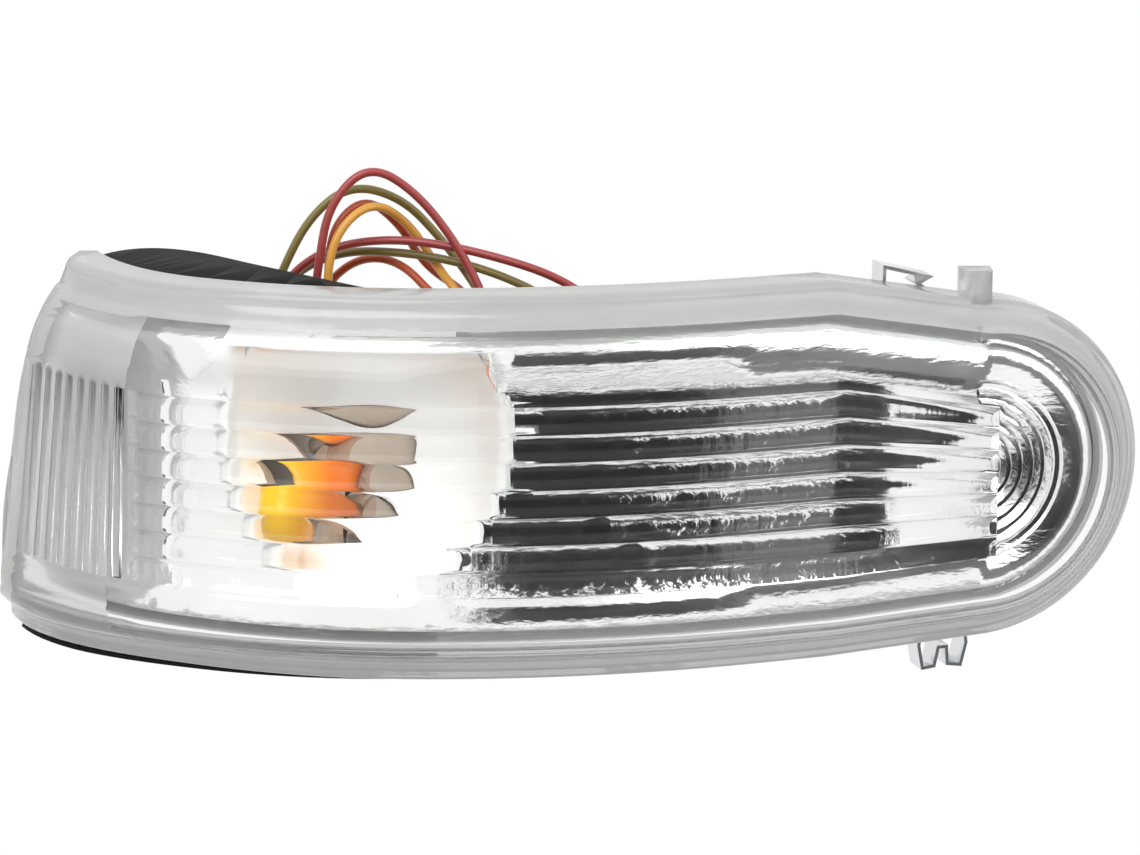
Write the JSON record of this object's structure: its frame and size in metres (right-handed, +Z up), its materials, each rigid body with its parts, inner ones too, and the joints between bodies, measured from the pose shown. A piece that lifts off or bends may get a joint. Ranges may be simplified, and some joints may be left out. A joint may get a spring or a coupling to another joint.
{
  "type": "mirror turn signal lamp",
  "caption": "Door-mirror turn signal lamp: clear fluted wrap-round lens, bright reflector, amber bulb in a twist holder, black rear housing, spring clips and wires to a plug.",
  "frame": {"origin": "middle of the mouth of the screw boss on the rear housing, behind the wrapped end", "axes": "+X along the lamp from its wrapped end to its round tip, +Y from the lens to the back, along the screw's way out of the boss, +Z up"},
  "size_m": [0.1961, 0.0625, 0.0885],
  "materials": {
    "clear_lens": "clear, polished outside and fluted inside",
    "bright_reflector": "metallised, mirror bright",
    "black_housing": "finely grained",
    "seal_rubber": "matte",
    "amber_glass": "clear amber",
    "filament_wire": "drawn wire",
    "lead_wire": "drawn wire",
    "holder_plastic": "moulded",
    "contact_brass": "stamped",
    "boot_rubber": "matte",
    "red_insulation": "smooth vinyl",
    "olive_insulation": "smooth vinyl",
    "yellow_insulation": "smooth vinyl",
    "brown_insulation": "smooth vinyl",
    "plug_plastic": "moulded",
    "lock_plastic": "moulded",
    "terminal_brass": "stamped",
    "clip_steel": "bright spring strip",
    "vent_plastic": "moulded"
  },
  "bodies": {
    "root": {"outer_lens": "clear_lens", "reflector": "bright_reflector", "rear_housing": "black_housing", "lens_seal": "seal_rubber", "bulb_glass": "amber_glass", "bulb_filament": "filament_wire", "bulb_leads": "lead_wire", "bulb_holder": "holder_plastic", "contact_upper": "contact_brass", "contact_lower": "contact_brass", "holder_seal": "seal_rubber", "wire_boot": "boot_rubber", "red_wire": "red_insulation", "olive_wire": "olive_insulation", "yellow_wire": "yellow_insulation", "brown_wire": "brown_insulation", "connector_housing": "plug_plastic", "connector_lock": "lock_plastic", "connector_terminals": "terminal_brass", "upper_clip": "clip_steel", "lower_clip": "clip_steel", "vent_cap": "vent_plastic"}
  },
  "joints": []
}
